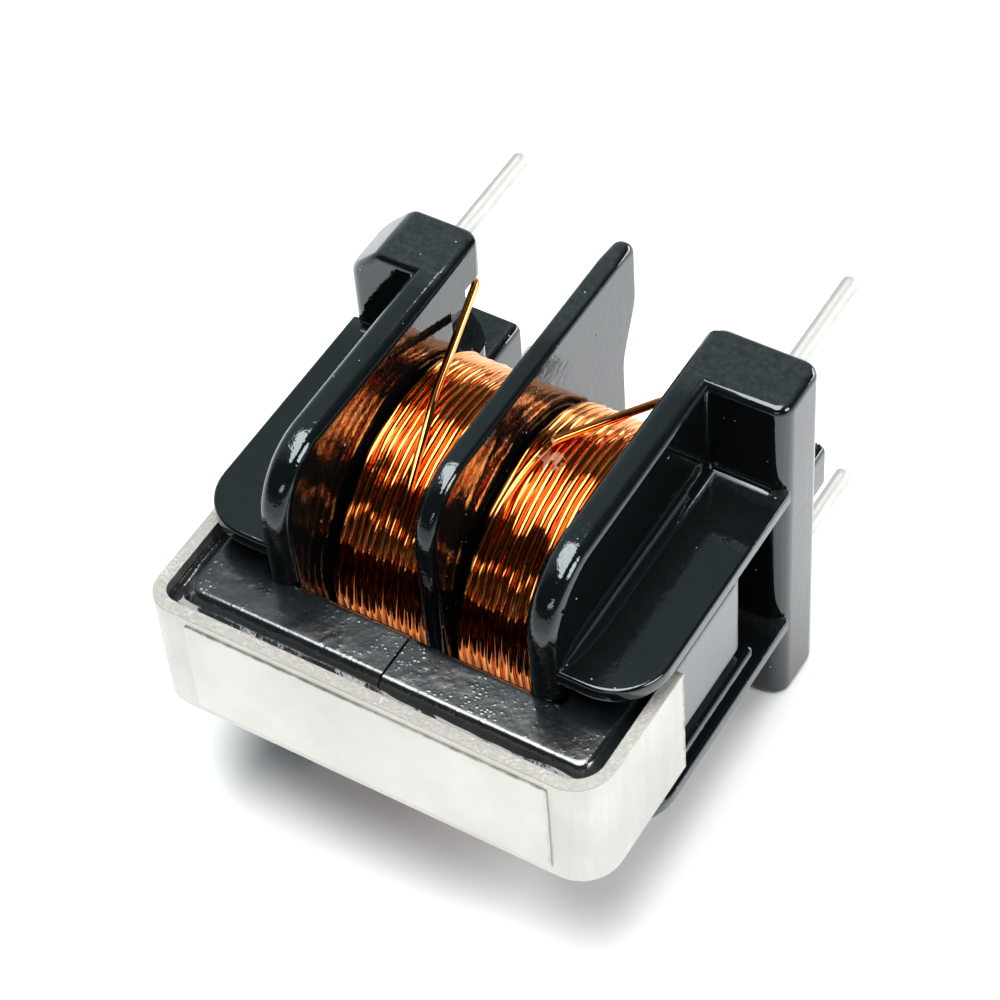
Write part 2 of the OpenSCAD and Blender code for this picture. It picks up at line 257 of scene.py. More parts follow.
def lipped_wall(outline, middle, half, lip):
    """A wall across X with this outline, its rim rounded by as much as lip says at each point."""
    inward = []
    for i in range(len(outline)):
        along = Vector(outline[(i + 1) % len(outline)]) - Vector(outline[i - 1])
        inward.append(Vector((-along.y, along.x)).normalized())
    rows = []
    for side, turns in ((-1, range(90, -1, -15)), (1, range(0, 91, 15))):
        for turn in turns:
            a = math.radians(turn)
            row = []
            for (y, z), way in zip(outline, inward):
                r = lip(y)
                inset = r * (1 - math.cos(a))
                x = middle + side * (half - r + r * math.sin(a))
                row.append((x, y + way.x * inset, z + way.y * inset))
            rows.append(row)
    return loft(rows)


def mirrored(points, side):
    """The same outline on the left (-1) or the right (1)."""
    return [(side * x, y) for x, y in points]


def fillet(corner, radius, way):
    """Outline of the plastic that fills a corner, with a hollow arc towards the way it opens."""
    x, y = corner
    u, v = way
    sunk = 0.08
    hollow = arc((0, 0), 1, 270, 180, 8)
    return (
        [(x - u * sunk, y - v * sunk), (x + u * radius, y - v * sunk)]
        + [(x + u * radius * (1 + a), y + v * radius * (1 + b)) for a, b in hollow]
        + [(x - u * sunk, y + v * radius)]
    )


def bobbin_end(side):
    """Flange, rail, standoff and yoke plates of one end, with the fillets between them."""
    middle = side * (FLANGE_IN + FLANGE_OUT) / 2
    flange_side = wall_outline(FLANGE_FRONT, FLANGE_BACK, FLANGE_BEND)
    flange = lipped_wall(flange_side, middle, (FLANGE_OUT - FLANGE_IN) / 2, flange_lip)

    corner = [(RAIL_OUT, HEIGHT)]
    if side < 0:
        corner = [(RAIL_OUT, HEIGHT - PIN_MARK), (RAIL_OUT - PIN_MARK, HEIGHT)]
    face = [(FLANGE_IN, 0), (RAIL_OUT, 0)] + corner + [(FLANGE_IN, HEIGHT)]
    rail = prism(mirrored(face, side), "y", 0, RAIL_DEPTH)
    upright = [
        e for e in rail.edges
        if abs(e.verts[0].co.z - e.verts[1].co.z) > HEIGHT / 2
        and (e.verts[0].co.y > 1 or abs(e.verts[0].co.x) > 6)
    ]
    rounded(rail, upright, RAIL_BEND, 6)
    rounded(rail, sharp_edges(rail), RAIL_EDGE, 4)

    foot = []
    for x, way, start in ((FOOT_OUT, 1, 0), (FOOT_IN, 1, 90), (FOOT_IN, -1, 180), (FOOT_OUT, -1, 270)):
        foot += arc((x, MID + way * FOOT_HALF), FOOT_BEND, start, start + 90, 5)
    standoff = soft_prism(mirrored(foot, side), "y", RAIL_DEPTH - SUNK, SEAT, FOOT_EDGE)

    root = FLANGE_OUT - SUNK
    plate = (
        [(root, SUNK), (root, PLATE_FRONT)]
        + arc((PLATE_OUT - PLATE_BEND, PLATE_FRONT + PLATE_BEND), PLATE_BEND, 270, 360, 14)
        + [(PLATE_OUT, SUNK)]
    )
    land = [(root, LAND_BACK), (LAND_OUT, LAND_BACK), (LAND_OUT, LAND_FRONT), (root, LAND_FRONT)]
    parts = [flange, rail, standoff]
    for level in (-1, 1):
        near, far = sorted((MID + level * PLATE_IN, MID + level * PLATE_TOP))
        parts.append(soft_prism(mirrored(plate, side), "z", near, far, PLATE_EDGE, 4))
        near, far = sorted((MID + level * CORE_ROOM, MID + level * (PLATE_IN + 0.2)))
        parts.append(soft_prism(mirrored(land, side), "z", near, far, LAND_EDGE))
        top = MID + level * PLATE_TOP
        inner = MID + level * PLATE_IN
        rail_foot = sorted((side * (FLANGE_OUT - 0.2), side * 7.9))
        parts.append(prism(fillet((0, top), RAIL_FILLET_OUT, (-1, level)), "x", *rail_foot))
        parts.append(prism(fillet((0, inner), RAIL_FILLET_IN, (-1, -level)), "x", *rail_foot))
        flange_foot = []
        for y, radius in FLANGE_FILLET:
            hollow = fillet((side * FLANGE_OUT, top), radius, (side, level))
            flange_foot.append([(x, y, z) for x, z in hollow])
        parts.append(loft(flange_foot))
        rail_corner = sorted((top - level * 0.2, MID + level * (MID - 0.25)))
        filled = fillet((side * FLANGE_OUT, 0), CORNER_FILLET, (side, -1))
        parts.append(prism(filled, "z", *rail_corner))
    return parts


def end_cuts(side):
    """Front leg relief, pin bores and wire notches of one end."""
    cuts = [prism(mirrored(LEG_RELIEF, side), "z", MID - CORE_ROOM, MID + CORE_ROOM)]
    for level in (-1, 1):
        notch = [(side * x, MID + level * z) for x, z in NOTCH_OUTLINE]
        cuts.append(prism(notch, "y", NOTCH_START, CUT_END))
        bore = arc((side * PIN_X, MID + level * PIN_Z), BORE_RADIUS, 0, 345, 23)
        cuts.append(prism(bore, "y", BORE_START, CUT_END))
    return cuts


tube = prism(arc((LEG_Y, MID), TUBE_RADIUS, 0, 354, 59), "x", -TUBE_END, TUBE_END)
divider = lipped_wall(divider_outline(), 0, DIVIDER_HALF, divider_lip)
leg_corners = ((-1, -1), (1, -1), (1, 1), (-1, 1))
leg_hole = prism([(LEG_Y + a * LEG_ROOM, MID + b * CORE_ROOM) for a, b in leg_corners], "x", -6, 6)
bobbin = moulded(
    [tube, divider] + bobbin_end(-1) + bobbin_end(1),
    [leg_hole] + end_cuts(-1) + end_cuts(1),
    "bobbin_moulding",
)
to_part_frame(bobbin)


def flat_shaded(piece, angle=38):
    """Smooth shading that keeps flat faces flat and edges over this angle sharp."""
    piece.data.shade_smooth()
    piece.data.set_sharp_from_angle(angle=math.radians(angle))
    weigh = piece.modifiers.new("weigh", "WEIGHTED_NORMAL")
    weigh.keep_sharp = True
    return settled(piece, piece.name)


bobbin = flat_shaded(bobbin)


def new_finish(name):
    """A material with one Principled shader, and the piece's own coordinates for its patterns."""
    finish = bpy.data.materials.new(name)
    finish.use_nodes = True
    tree = finish.node_tree
    shader = tree.nodes["Principled BSDF"]
    where = tree.nodes.new("ShaderNodeTexCoord").outputs["Object"]
    return finish, tree, shader, where


def put(tree, kind, inputs=(), **settings):
    """Adds a node, with its settings and with values or links on its inputs."""
    node = tree.nodes.new(kind)
    for key, value in settings.items():
        setattr(node, key, value)
    for key, value in dict(inputs).items():
        if isinstance(value, bpy.types.NodeSocket):
            tree.links.new(value, node.inputs[key])
        else:
            node.inputs[key].default_value = value
    return node


def cloudy(tree, where, scale, detail=4, rough=0.55):
    """Noise of this many waves to the metre."""
    return put(tree, "ShaderNodeTexNoise", {
        "Vector": where, "Scale": scale, "Detail": detail, "Roughness": rough,
    }).outputs["Fac"]


def between(tree, value, low, high, out_low=0.0, out_high=1.0):
    """Spreads a value's range from low to high over another range."""
    return put(tree, "ShaderNodeMapRange", {
        "Value": value, "From Min": low, "From Max": high, "To Min": out_low, "To Max": out_high,
    }).outputs["Result"]


def sums(tree, how, a, b=0.0):
    """Two values joined by a calculation."""
    return put(tree, "ShaderNodeMath", {0: a, 1: b}, operation=how).outputs["Value"]


def part_of(tree, vector, axis):
    """One coordinate of a place or a direction."""
    return put(tree, "ShaderNodeSeparateXYZ", {"Vector": vector}).outputs[axis]


def blended(tree, share, a, b):
    """Two colours mixed by a share."""
    node = put(tree, "ShaderNodeMix", {"Factor": share}, data_type="RGBA")
    for socket, value in ((node.inputs[6], a), (node.inputs[7], b)):
        if isinstance(value, bpy.types.NodeSocket):
            tree.links.new(value, socket)
        else:
            socket.default_value = value
    return node.outputs[2]


def specks(tree, where, scale, size, share):
    """Grains of dust: round dots in some cells of a loose pattern."""
    cells = put(tree, "ShaderNodeTexVoronoi", {"Vector": where, "Scale": scale})
    dot = between(tree, cells.outputs["Distance"], size, size * 0.6)
    kept = put(tree, "ShaderNodeSeparateColor", {"Color": cells.outputs["Color"]}).outputs["Red"]
    return sums(tree, "MULTIPLY", dot, sums(tree, "LESS_THAN", kept, share))


def raised(tree, height, distance, strength=1.0, under=None):
    """A bump from a height, on top of another bump."""
    inputs = {"Height": height, "Distance": distance, "Strength": strength}
    if under is not None:
        inputs["Normal"] = under
    return put(tree, "ShaderNodeBump", inputs).outputs["Normal"]


def moulded_plastic():
    """Black plastic: a mirror gloss with faint flow marks, scuffed outer faces, dust, and small pits
    painted dark as the shade inside them.
    """
    finish, tree, shader, where = new_finish("bobbin_plastic")
    facing = tree.nodes.new("ShaderNodeNewGeometry").outputs["Normal"]
    top = between(tree, part_of(tree, facing, "Z"), 0.8, 0.96)
    scuffs = between(tree, cloudy(tree, where, 5200, 6, 0.75), 0.28, 0.72)
    along = part_of(tree, where, "Y")
    handled = between(tree, along, (RAIL_FRONT - 0.8) * MM, (RAIL_FRONT + 0.2) * MM, 0.1, 1)
    worn = sums(tree, "MULTIPLY", sums(tree, "MULTIPLY", top, scuffs), handled)
    fine_dust = specks(tree, where, 2600, 0.09, 0.16)
    dust = sums(tree, "MAXIMUM", specks(tree, where, 900, 0.055, 0.35), fine_dust)
    plain = blended(tree, worn, BLACK, SCUFFED)
    # Pits: real dents in the bump, painted near black and without reflection as the shade inside them.
    pits_and_pit_shade = specks(tree, where, 560, 0.055, 0.45)
    tree.links.new(between(tree, pits_and_pit_shade, 0, 1, 0.5, 0.0), shader.inputs["Specular IOR Level"])
    shader.inputs["Specular Tint"].default_value = (0.87, 0.97, 1.0, 1)
    plain = blended(tree, pits_and_pit_shade, plain, PIT_SHADE)
    tree.links.new(blended(tree, dust, plain, DUST), shader.inputs["Base Color"])
    flow = between(tree, cloudy(tree, where, 420, 3), 0.3, 0.7, 0.03, 0.07)
    rough = sums(tree, "ADD", flow, sums(tree, "MULTIPLY", top, 0.05))
    rough = sums(tree, "ADD", rough, sums(tree, "MULTIPLY", worn, 0.05))
    rough = sums(tree, "ADD", rough, sums(tree, "MULTIPLY", dust, 0.5))
    tree.links.new(rough, shader.inputs["Roughness"])
    waves = raised(tree, cloudy(tree, where, 330, 2), 0.00003, 0.35)
    nose = between(tree, along, (RAIL_FRONT - 5.9) * MM, (RAIL_FRONT - 6.7) * MM)
    across = sums(tree, "ABSOLUTE", part_of(tree, where, "X"))
    nose = sums(tree, "MULTIPLY", nose, between(tree, across, 5.53 * MM, 5.7 * MM, 1, 0))
    sideways = sums(tree, "ABSOLUTE", part_of(tree, facing, "X"))
    nose = sums(tree, "MULTIPLY", nose, between(tree, sideways, 0.6, 0.9, 1, 0))
    pebbled = sums(tree, "MULTIPLY", cloudy(tree, where, 5400, 2), nose)
    pebbles = raised(tree, pebbled, 0.00002, 0.6, waves)
    peel = raised(tree, cloudy(tree, where, 2600, 2), 0.000014, 0.5, pebbles)
    grain = raised(tree, cloudy(tree, where, 7800, 3), 0.000003, 0.5, peel)
    dents = sums(tree, "SUBTRACT", dust, pits_and_pit_shade)
    tree.links.new(raised(tree, dents, 0.00003, 1.0, grain), shader.inputs["Normal"])
    shader.inputs["IOR"].default_value = 1.62
    return finish


def dress(piece, finish, slot, *nodes):
    """Gives a piece its finish, says what it rides on, and hides the nodes it stands for."""
    piece.data.materials.clear()
    piece.data.materials.append(finish)
    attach(piece, "root")
    if nodes:
        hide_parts(*nodes)


dress(bobbin, moulded_plastic(), "bobbin_plastic", "bobbin")


# The end faces are painted a lighter grey, which stands in part for the sheen they catch from the
# side.
# Core: two U halves in dark grey ferrite, pushed into the bobbin from both ends until they meet.
# Sintered and ground at the ends, then dipped in varnish that dries in patches of small beads.
# The right half stands a little further forward, and the joint shows as a dark line.
CORE_END = 8.05
CORE_BACK = -1.8
CORE_FRONT = -12.1
LEG = 2.4
WINDOW_END = 5.61
CORE_HALF_THICK = 2.28
CORE_BEND = 1.0
CORE_STEP = 0.08
OUTER_BEVEL = 0.5
INNER_BEVEL = 0.16
PAST_JOINT = 0.4
JOINT = 0.042
VOXEL = 0.08
VARNISH = 0.012
WET_PATCHES = (
    (-6.4, -10.6, 0.9), (-3.4, -10.7, 1.1), (-1.9, -11.2, 0.7), (0.9, -11.0, 0.9),
    (2.4, -10.6, 0.8), (5.2, -10.4, 1.2), (6.6, -10.9, 0.8),
)
FERRITE = ((0.003, 0.0046, 0.0052, 1), (0.007, 0.0098, 0.0106, 1))
# Lighter grey for the end faces, partly a painted sheen.
END_GREY_AND_SHEEN = ((0.070, 0.082, 0.088, 1), (0.086, 0.099, 0.106, 1))


def varnish(place):
    """Height of the varnish at a place: faint waves, and beads that stand close in wet patches."""
    waves = noise.noise(place * 1.1) * 0.004 + noise.noise(place * 3.4) * 0.002
    wet = 0.25 * max(0.0, noise.noise(place * 0.8))
    for x, y, size in WET_PATCHES:
        wet += math.exp(-((place.x - x) ** 2 + 2 * (place.y - y) ** 2) / size ** 2)
    gap = noise.voronoi(place * 4.3)[0][0]
    bead = eased(gap, 0.6, 0.2) * (0.7 + 0.5 * noise.noise(place * 2.3))
    return waves + 0.007 * bead * min(1.0, wet)


def core_half(side):
    """One U half, with bevelled rims and beads of varnish on all faces but its ground end."""
    front = CORE_FRONT - (CORE_STEP if side > 0 else 0.0)
    bend = CORE_END - CORE_BEND
    outline = (
        [(-PAST_JOINT, CORE_BACK)]
        + arc((bend, CORE_BACK - CORE_BEND), CORE_BEND, 90, 0, 8)
        + arc((bend, front + CORE_BEND), CORE_BEND, 0, -90, 8)
        + [(-PAST_JOINT, front), (-PAST_JOINT, front + LEG), (WINDOW_END, front + LEG)]
        + [(WINDOW_END, CORE_BACK - LEG), (-PAST_JOINT, CORE_BACK - LEG)]
    )
    shape = prism(mirrored(outline, side), "z", MID - CORE_HALF_THICK, MID + CORE_HALF_THICK)
    rims = [
        e for e in sharp_edges(shape)
        if abs(e.verts[0].co.z - e.verts[1].co.z) < 0.1 and max(abs(v.co.x) for v in e.verts) > 0.5
    ]
    low, high = front + LEG - 0.1, CORE_BACK - LEG + 0.1
    inner = [e for e in rims if all(low < v.co.y < high for v in e.verts)]
    rounded(shape, [e for e in rims if e not in inner], OUTER_BEVEL, 1)
    rounded(shape, inner, INNER_BEVEL, 1)
    half = as_object("half", shape)
    grid = half.modifiers.new("grid", "REMESH")
    grid.mode = "VOXEL"
    grid.voxel_size = VOXEL
    calm = half.modifiers.new("calm", "SMOOTH")
    calm.factor = 0.5
    calm.iterations = 1
    name = "ferrite_half_right" if side > 0 else "ferrite_half_left"
    half = settled(half, name)
    outward = [vertex.normal.copy() for vertex in half.data.vertices]
    for vertex, normal in zip(half.data.vertices, outward):
        place = vertex.co.copy()
        varnished = eased(abs(place.x), CORE_END - 0.02, CORE_END - 0.14)
        vertex.co = place + normal * varnished * (varnish(place) - VARNISH)
    shape = bmesh.new()
    shape.from_mesh(half.data)
    everything = shape.verts[:] + shape.edges[:] + shape.faces[:]
    cut = bmesh.ops.bisect_plane(
        shape, geom=everything, plane_co=(side * JOINT, 0, 0), plane_no=(-side, 0, 0),
        clear_outer=True,
    )["geom_cut"]
    bmesh.ops.edgeloop_fill(shape, edges=[e for e in cut if isinstance(e, bmesh.types.BMEdge)])
    shape.to_mesh(half.data)
    shape.free()
    to_part_frame(half)
    half.data.shade_smooth()
    half.data.set_sharp_from_angle(angle=math.radians(60))
    return half


def varnished_ferrite():
    """Dark grey ferrite under thin varnish, with fine beads, and a ground look at the ends whose
    lighter grey is partly painted sheen.
    """
    finish, tree, shader, where = new_finish("ferrite")
    mottle = between(tree, cloudy(tree, where, 900, 6, 0.65), 0.32, 0.7)
    across = sums(tree, "ABSOLUTE", part_of(tree, where, "X"))
    inside = between(tree, across, (CORE_END - 0.02) * MM, (CORE_END - 0.07) * MM)
    # The end faces' lighter grey is partly painted sheen from the side.
    bare = blended(tree, mottle, *END_GREY_AND_SHEEN)
    tint = blended(tree, inside, bare, blended(tree, mottle, *FERRITE))
    tree.links.new(tint, shader.inputs["Base Color"])
    gloss = between(tree, mottle, 0, 1, 0.15, 0.2)
    gloss = sums(tree, "ADD", gloss, between(tree, inside, 0, 1, 0.16, 0))
    cells = put(tree, "ShaderNodeTexVoronoi", {"Vector": where, "Scale": 5600, "Randomness": 1.0})
    beads = between(tree, cells.outputs["Distance"], 0.4, 0.0)
    wet = between(tree, cloudy(tree, where, 520, 3), 0.38, 0.58)
    beads = sums(tree, "MULTIPLY", sums(tree, "MULTIPLY", beads, wet), inside)
    rough = sums(tree, "SUBTRACT", gloss, sums(tree, "MULTIPLY", beads, 0.08))
    tree.links.new(rough, shader.inputs["Roughness"])
    skin = raised(tree, cloudy(tree, where, 2600, 4), 0.000012, 0.5)
    tree.links.new(raised(tree, beads, 0.000008, 0.8, skin), shader.inputs["Normal"])
    shader.inputs["IOR"].default_value = 1.95
    return finish


ferrite = varnished_ferrite()
dress(core_half(-1), ferrite, "ferrite", "core_half_left")
dress(core_half(1), ferrite, "ferrite", "core_half_right")


# Windings: two coils of enamelled copper wire, wound in layers on the bobbin's tube.
# The outer layer's turns lie side by side across the whole space and wander a little.
WIRE = 0.3
COIL_RADIUS = 5.179
COIL_START = 0.42
COIL_WIDTH = 3.96
LAYER_RISE = 0.26
TURNS = 13.0
WANDER = (0.15, 0.26, 0.26)
COPPER = ((0.80, 0.225, 0.04, 1), (0.92, 0.33, 0.08, 1))
RESIN = (0.70, 0.33, 0.21, 1)
RESIN_SPOT = (1.6 * MM, (RAIL_FRONT - 3.2) * MM, 12.72 * MM)


def new_tree(name, sizes):
    """A node tree with named inputs for its sizes, and those inputs."""
    tree = bpy.data.node_groups.new(name, "GeometryNodeTree")
    tree.interface.new_socket("Geometry", in_out="INPUT", socket_type="NodeSocketGeometry")
    for size, kind in sizes.items():
        tree.interface.new_socket(size, in_out="INPUT", socket_type=f"NodeSocket{kind}")
    tree.interface.new_socket("Geometry", in_out="OUTPUT", socket_type="NodeSocketGeometry")
    return tree, tree.nodes.new("NodeGroupInput").outputs


def draw_wire(tree, curve, wire, corners, finish):
    """Ends a node tree with a round wire along a curve, in its finish."""
    half_wire = sums(tree, "MULTIPLY", wire, 0.5)
    section = put(tree, "GeometryNodeCurvePrimitiveCircle", {
        "Resolution": corners, "Radius": half_wire,
    })
    drawn = put(tree, "GeometryNodeCurveToMesh", {
        "Curve": curve, "Profile Curve": section.outputs["Curve"], "Fill Caps": True,
    })
    smooth = put(tree, "GeometryNodeSetShadeSmooth", {"Geometry": drawn.outputs["Mesh"]})
    real = put(tree, "GeometryNodeRealizeInstances", {"Geometry": smooth.outputs["Geometry"]})
    coated = put(tree, "GeometryNodeSetMaterial", {
        "Geometry": real.outputs["Geometry"], "Material": finish,
    })
    end = tree.nodes.new("NodeGroupOutput")
    tree.links.new(coated.outputs["Geometry"], end.inputs["Geometry"])


def coil_tree(finish):
    """A node tree that winds the two outer layers of a coil round the X axis."""
    tree, given = new_tree("wound_coil", {
        "Turns": "Float", "Radius": "Float", "Width": "Float", "Wire": "Float",
        "Rise": "Float", "Wander": "Vector", "Place": "Vector",
    })
    inner = sums(tree, "SUBTRACT", given["Radius"], given["Rise"])
    layers = put(tree, "GeometryNodeJoinGeometry")
    for radius, back in ((given["Radius"], False), (inner, True)):
        turns = put(tree, "GeometryNodeCurveSpiral", {
            "Resolution": 96, "Rotations": given["Turns"], "Start Radius": radius,
            "End Radius": radius, "Height": given["Width"], "Reverse": back,
        })
        tree.links.new(turns.outputs["Curve"], layers.inputs["Geometry"])
    lying = put(tree, "GeometryNodeTransform", {
        "Geometry": layers.outputs["Geometry"], "Rotation": (0, math.radians(90), 0),
        "Translation": given["Place"],
    })
    spot = tree.nodes.new("GeometryNodeInputPosition").outputs["Position"]
    by_turn = put(tree, "ShaderNodeVectorMath", {0: spot, 1: (3.5, 1.0, 1.0)}, operation="MULTIPLY")
    drift = put(tree, "ShaderNodeTexNoise", {
        "Vector": by_turn.outputs["Vector"], "Scale": 620.0, "Detail": 2.0,
    })
    centred = put(tree, "ShaderNodeVectorMath", {0: drift.outputs["Color"], 1: (0.5, 0.5, 0.5)},
                  operation="SUBTRACT").outputs["Vector"]
    offset = put(tree, "ShaderNodeVectorMath", {0: centred, 1: given["Wander"]},
                 operation="MULTIPLY").outputs["Vector"]
    laid = put(tree, "GeometryNodeSetPosition", {
        "Geometry": lying.outputs["Geometry"], "Offset": offset,
    })
    draw_wire(tree, laid.outputs["Geometry"], given["Wire"], 9, finish)
    return tree


def with_nodes(thing, tree, values):
    """Puts a node tree on an object, with values for its named inputs."""
    step = thing.modifiers.new("nodes", "NODES")
    step.node_group = tree
    for item in tree.interface.items_tree:
        if item.in_out == "INPUT" and item.name in values:
            step[item.identifier] = values[item.name]


def enamelled_copper():
    """Bright copper under clear amber enamel, with a smear of pale resin on one coil."""
    finish, tree, shader, where = new_finish("enamelled_copper")
    shade = between(tree, cloudy(tree, where, 1500, 3), 0.3, 0.7)
    spot = put(tree, "ShaderNodeVectorMath", {0: where, 1: RESIN_SPOT}, operation="DISTANCE")
    ragged = between(tree, cloudy(tree, where, 2600, 4), 0.3, 0.7, -0.5 * MM, 0.5 * MM)
    smear = sums(tree, "ADD", spot.outputs["Value"], ragged)
    resin = between(tree, smear, 0.46 * MM, 0.3 * MM)
    tint = blended(tree, resin, blended(tree, shade, *COPPER), RESIN)
    tree.links.new(tint, shader.inputs["Base Color"])
    rough = between(tree, cloudy(tree, where, 6000, 3), 0.3, 0.7, 0.07, 0.14)
    tree.links.new(rough, shader.inputs["Roughness"])
    tree.links.new(between(tree, resin, 0, 1, 1, 0.55), shader.inputs["Metallic"])
    shader.inputs["Coat Weight"].default_value = 0.25
    shader.inputs["Coat Roughness"].default_value = 0.06
    shader.inputs["Coat IOR"].default_value = 1.5
    tree.links.new(raised(tree, cloudy(tree, where, 4200, 3), 0.000006, 0.4), shader.inputs["Normal"])
    return finish


copper = enamelled_copper()
wound = coil_tree(copper)
for side, name in ((-1, "left"), (1, "right")):
    start = COIL_START if side > 0 else -COIL_START - COIL_WIDTH
    coil = in_scene("coil", bpy.data.meshes.new("coil"))
    with_nodes(coil, wound, {
        "Turns": TURNS,
        "Radius": (COIL_RADIUS - WIRE / 2) * MM,
        "Width": (COIL_WIDTH - WIRE) * MM,
        "Wire": WIRE * MM,
        "Rise": LAYER_RISE * MM,
        "Wander": [reach * MM for reach in WANDER],
        "Place": ((start + WIRE / 2) * MM, (LEG_Y + RAIL_FRONT) * MM, MID * MM),
    })
    coil = settled(coil, f"coil_{name}")
    dress(coil, copper, "enamelled_copper", f"winding_{name}")


# Leads: the two ends of each coil, drawn straight from its outer turns through a notch
# in the rail, and wrapped twice round the root of a pin. Same wire as the coils.
# Each has its side, its level, where it lies on and leaves its coil, and its first angle.
LEADS = (
    (-1, 1, 2.2, 3.2, -42),
    (1, 1, 0.85, 1.3, -45),
    (1, -1, 3.0, 3.2, -20),
    (-1, -1, 3.0, 3.2, -20),
)
NOTCH = (4.75, 2.45, 5.05)
WRAP_RADIUS = 0.49
WRAP_START = 2.77
WRAP_PITCH = 0.32
TO_PIN = ((4.9, 2.6, 4.95), (5.05, 2.74, 4.8), (5.7, WRAP_START, 4.58))
LEAD_GAP = 0.02


def lead_route(x_start, x_leave, start):
    """Points of a lead at the right top: on its coil, through the notch, round the pin."""
    radius = COIL_RADIUS + WIRE / 2 + LEAD_GAP
    back = NOTCH[1] - LEG_Y
    leave = math.degrees(math.atan2(back, NOTCH[2]) - math.acos(radius / math.hypot(back, NOTCH[2])))
    points = []
    for i in range(13):
        share = i / 12
        angle = math.radians(start + share * (leave - start))
        points.append((
            x_start + share ** 1.6 * (x_leave - x_start),
            LEG_Y + radius * math.sin(angle),
            radius * math.cos(angle),
        ))
    last = Vector(points[-1])
    points += [tuple(last.lerp(Vector(NOTCH), k / 6)) for k in (1, 2, 3, 4, 5)]
    points += [NOTCH, *TO_PIN]
    for angle in range(-15, 811, 15):
        a = math.radians(angle)
        points.append((
            PIN_X + WRAP_RADIUS * math.sin(a),
            WRAP_START + WRAP_PITCH * max(0, angle) / 360,
            PIN_Z - WRAP_RADIUS * math.cos(a),
        ))
    return points


def wire_tree(finish):
    """A node tree that draws a wire of one thickness along an object's own curve."""
    tree, given = new_tree("drawn_wire", {"Wire": "Float"})
    draw_wire(tree, given["Geometry"], given["Wire"], 14, finish)
    return tree


drawn_wire = wire_tree(copper)
for number, (side, level, x_start, x_leave, angle) in enumerate(LEADS, 1):
    path = bpy.data.curves.new("path", "CURVE")
    path.dimensions = "3D"
    run = path.splines.new("NURBS")
    route = lead_route(x_start, x_leave, angle)
    run.points.add(len(route) - 1)
    for spot, (x, y, z) in zip(run.points, route):
        spot.co = (side * x * MM, (y + RAIL_FRONT) * MM, (MID + level * z) * MM, 1)
    run.order_u = 3
    run.use_endpoint_u = True
    run.resolution_u = 3
    lead = in_scene("lead", path)
    with_nodes(lead, drawn_wire, {"Wire": WIRE * MM})
    lead = settled(lead, f"coil_end_{number}")
    dress(lead, copper, "enamelled_copper", f"lead_{number}")


# Pins: tinned round wire, pressed into the rails, cut off with a blunt, slightly pinched tip.
# The hot dip leaves the tin a little uneven along each pin.
PIN_RADIUS = 0.32
PIN_START = 0.8
PIN_STRAIGHT = 8.36
PIN_TIP = ((0.31, 8.4), (0.29, 8.43), (0.25, 8.45))
PIN_TIN = (0.60, 0.60, 0.57)


def lathed(profile, centre, steps, wobble, seed):
    """A round body along Y from pairs of radius and place, with an uneven skin."""
    shape = bmesh.new()
    rows = []
    for radius, along in profile:
        row = []
        for k in range(steps):
            a = 2 * math.pi * k / steps
            x, z = math.cos(a), math.sin(a)
            r = radius * (1 + wobble * noise.noise((x * 1.4 + seed * 9, z * 1.4, along * 1.7)))
            row.append(shape.verts.new((centre[0] + r * x, along, centre[1] + r * z)))
        rows.append(row)
    for below, above in zip(rows, rows[1:]):
        for k in range(steps):
            shape.faces.new((below[k - 1], below[k], above[k], above[k - 1]))
    shape.faces.new(rows[0])
    shape.faces.new(rows[-1])
    bmesh.ops.recalc_face_normals(shape, faces=shape.faces)
    return shape


def tinned_metal(name, tint, rough):
    """Dull tin: pale warm metal with soft streaks and small pits."""
    finish, tree, shader, where = new_finish(name)
    patches = between(tree, cloudy(tree, where, 1100, 5, 0.6), 0.3, 0.72)
    dark = tuple(0.86 * c for c in tint)
    tree.links.new(blended(tree, patches, (*dark, 1), (*tint, 1)), shader.inputs["Base Color"])
    tree.links.new(between(tree, patches, 0, 1, rough + 0.1, rough), shader.inputs["Roughness"])
    shader.inputs["Metallic"].default_value = 1.0
    tree.links.new(raised(tree, cloudy(tree, where, 3800, 4), 0.000008, 0.4), shader.inputs["Normal"])
    return finish


pin_tin = tinned_metal("pin_metal", PIN_TIN, 0.5)
stations = [PIN_START + (PIN_STRAIGHT - PIN_START) * i / 30 for i in range(31)]
pin_profile = [(PIN_RADIUS, along) for along in stations] + list(PIN_TIP)
for number, (side, level, *_) in enumerate(LEADS, 1):
    centre = (side * PIN_X, MID + level * PIN_Z)
    pin = as_object(f"tinned_pin_{number}", lathed(pin_profile, centre, 28, 0.035, number))
    to_part_frame(pin)
    pin.data.shade_smooth()
    dress(pin, pin_tin, "pin_metal", f"pin_{number}")


# Solder: a small cone on the wire's wraps at each pin's root, set smooth and bright by the dip.
# It leaves the rail's back face bare and runs out along the pin.
SOLDER_TIN = (0.62, 0.63, 0.63)
SOLDER_PROFILE = (
    (0.34, 2.63), (0.66, 2.63), (0.75, 2.72), (0.775, 2.86), (0.775, 3.1), (0.755, 3.3), (0.70, 3.46),
    (0.62, 3.58), (0.53, 3.68), (0.45, 3.78), (0.39, 3.88), (0.345, 3.96), (0.33, 3.97),
)

solder_tin = tinned_metal("solder", SOLDER_TIN, 0.22)
for number, (side, level, *_) in enumerate(LEADS, 1):
    centre = (side * PIN_X, MID + level * PIN_Z)
    solder = as_object(f"solder_cone_{number}", lathed(SOLDER_PROFILE, centre, 32, 0.05, number + 5))
    to_part_frame(solder)
    solder.data.shade_smooth()
    dress(solder, solder_tin, "solder", f"solder_{number}")


